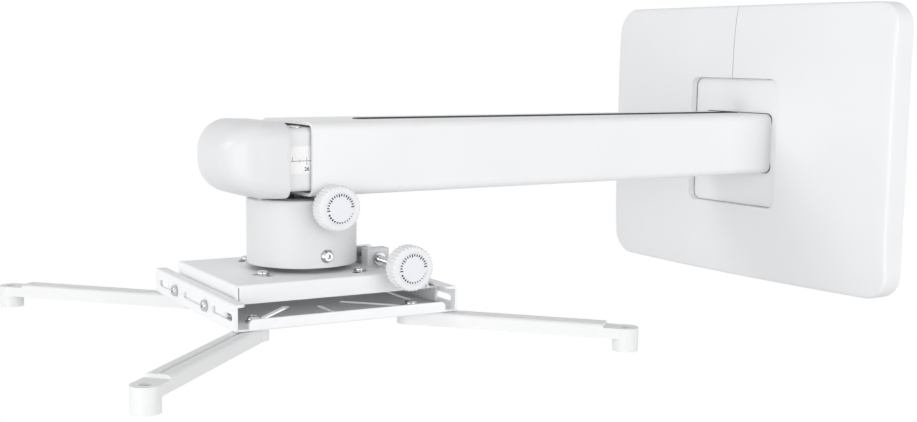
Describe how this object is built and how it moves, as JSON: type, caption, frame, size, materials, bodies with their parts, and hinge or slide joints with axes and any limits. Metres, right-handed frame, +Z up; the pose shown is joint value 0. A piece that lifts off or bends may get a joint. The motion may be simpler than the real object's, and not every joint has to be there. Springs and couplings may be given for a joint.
{
  "type": "projector wall mount",
  "caption": "Wall mount for a short-throw projector: covered wall plate, sliding box arm, rolling and tilting head with knob adjusters, and swinging legs on a slotted tray.",
  "frame": {"origin": "centre of the wall plate's back face, on the wall", "axes": "+Z up, +Y into the wall, so the arm runs along -Y; the knobs are on the +X side"},
  "size_m": [0.4421, 0.7491, 0.2856],
  "materials": {
    "white_steel": "satin powder coat",
    "arm_white": "satin powder coat",
    "neck_white": "satin powder coat over cast metal",
    "leg_white": "satin powder coat over cast metal",
    "cover_plastic": "fine textured",
    "white_plastic": "smooth satin",
    "knob_plastic": "smooth satin",
    "knob_cap": "smooth satin",
    "scale_label": "printed film",
    "glide_plastic": "plain",
    "chrome": "bright plated",
    "zinc": "zinc plated",
    "bush_brass": "turned"
  },
  "bodies": {
    "wall_mount": {"wall_plate": "white_steel", "base_studs": "zinc", "base_nuts": "zinc", "arm_base": "white_steel", "plate_cover": "cover_plastic", "arm_tube": "arm_white", "grub_screws": "zinc", "mouth_glides": "glide_plastic"},
    "carriage": {"slide_tube": "arm_white", "stop_screws": "chrome", "slide_scale": "scale_label", "tail_glides": "glide_plastic", "slide_end_plate": "zinc", "roll_bolt": "zinc", "roll_nut": "zinc", "hood": "white_plastic", "roll_anchor": "zinc", "anchor_screws": "chrome"},
    "neck_unit": {"neck": "neck_white", "roll_bush": "bush_brass"},
    "roll_knob_unit": {"roll_knob": "knob_plastic", "roll_knob_cap": "knob_cap", "roll_screw": "zinc", "roll_collars": "zinc"},
    "turret_unit": {"turret": "neck_white", "pitch_bolts": "chrome", "yaw_clamp_screws": "chrome", "yaw_clamp_washers": "chrome", "yaw_ear": "zinc"},
    "head_unit": {"head_plate": "white_steel", "yaw_block": "neck_white", "rail_screws": "chrome", "rail_nuts": "zinc"},
    "yaw_knob_unit": {"yaw_knob": "knob_plastic", "yaw_knob_cap": "knob_cap", "yaw_screw": "zinc", "yaw_collars": "zinc"},
    "tray_unit": {"leg_tray": "white_steel"},
    "leg_bolt_front_right_unit": {"leg_bolt_front_right": "chrome", "leg_washer_front_right": "chrome"},
    "leg_front_right_unit": {"leg_front_right": "leg_white"},
    "leg_bolt_front_left_unit": {"leg_bolt_front_left": "chrome", "leg_washer_front_left": "chrome"},
    "leg_front_left_unit": {"leg_front_left": "leg_white"},
    "leg_bolt_back_right_unit": {"leg_bolt_back_right": "chrome", "leg_washer_back_right": "chrome"},
    "leg_back_right_unit": {"leg_back_right": "leg_white"},
    "leg_bolt_back_left_unit": {"leg_bolt_back_left": "chrome", "leg_washer_back_left": "chrome"},
    "leg_back_left_unit": {"leg_back_left": "leg_white"}
  },
  "joints": [
    {"name": "arm_slide", "type": "slide", "parent": "wall_mount", "child": "carriage", "axis": [0, -1, 0], "range_m": [0, 0.35]},
    {"name": "roll", "type": "hinge", "parent": "carriage", "child": "neck_unit", "pos_m": [0, -0.5728, 0], "axis": [0, 1, 0], "range_deg": [-3.5, 3.5]},
    {"name": "roll_knob_turn", "type": "hinge", "parent": "neck_unit", "child": "roll_knob_unit", "pos_m": [0.046, -0.5305, -0.0383], "axis": [1, 0, 0], "range_deg": [-860, 860]},
    {"name": "pitch", "type": "hinge", "parent": "neck_unit", "child": "turret_unit", "pos_m": [0, -0.532, -0.079], "axis": [1, 0, 0], "range_deg": [-4.5, 4.5]},
    {"name": "yaw", "type": "hinge", "parent": "turret_unit", "child": "head_unit", "pos_m": [0, -0.532, -0.093], "axis": [0, 0, 1], "range_deg": [-6, 6]},
    {"name": "yaw_knob_turn", "type": "hinge", "parent": "head_unit", "child": "yaw_knob_unit", "pos_m": [0.03313, -0.47676, -0.0864], "axis": [0.9984, -0.0558, 0], "range_deg": [-2160, 2160]},
    {"name": "tray_slide", "type": "slide", "parent": "head_unit", "child": "tray_unit", "axis": [0.9984, -0.0558, 0], "range_m": [0, 0.04]},
    {"name": "leg_bolt_front_right_slide", "type": "slide", "parent": "tray_unit", "child": "leg_bolt_front_right_unit", "axis": [0.6794, -0.7337, 0], "range_m": [-0.066, 0.004]},
    {"name": "leg_front_right_swing", "type": "hinge", "parent": "leg_bolt_front_right_unit", "child": "leg_front_right_unit", "pos_m": [0.07066, -0.60831, -0.1238], "axis": [0, 0, 1], "range_deg": [-40, 40]},
    {"name": "leg_bolt_front_left_slide", "type": "slide", "parent": "tray_unit", "child": "leg_bolt_front_left_unit", "axis": [-0.757, -0.6534, 0], "range_m": [-0.066, 0.004]},
    {"name": "leg_front_left_swing", "type": "hinge", "parent": "leg_bolt_front_left_unit", "child": "leg_front_left_unit", "pos_m": [-0.07873, -0.59996, -0.1238], "axis": [0, 0, 1], "range_deg": [-40, 40]},
    {"name": "leg_bolt_back_right_slide", "type": "slide", "parent": "tray_unit", "child": "leg_bolt_back_right_unit", "axis": [0.757, 0.6534, 0], "range_m": [-0.059, 0.011]},
    {"name": "leg_back_right_swing", "type": "hinge", "parent": "leg_bolt_back_right_unit", "child": "leg_back_right_unit", "pos_m": [0.07343, -0.46862, -0.1238], "axis": [0, 0, 1], "range_deg": [-40, 40]},
    {"name": "leg_bolt_back_left_slide", "type": "slide", "parent": "tray_unit", "child": "leg_bolt_back_left_unit", "axis": [-0.6794, 0.7337, 0], "range_m": [-0.059, 0.011]},
    {"name": "leg_back_left_swing", "type": "hinge", "parent": "leg_bolt_back_left_unit", "child": "leg_back_left_unit", "pos_m": [-0.06591, -0.46083, -0.1238], "axis": [0, 0, 1], "range_deg": [-40, 40]}
  ],
  "couplings": [
    {"joint": "roll_knob_turn", "follows": "roll", "ratio": 240.65},
    {"joint": "yaw_knob_turn", "follows": "yaw", "ratio": 358.14}
  ]
}
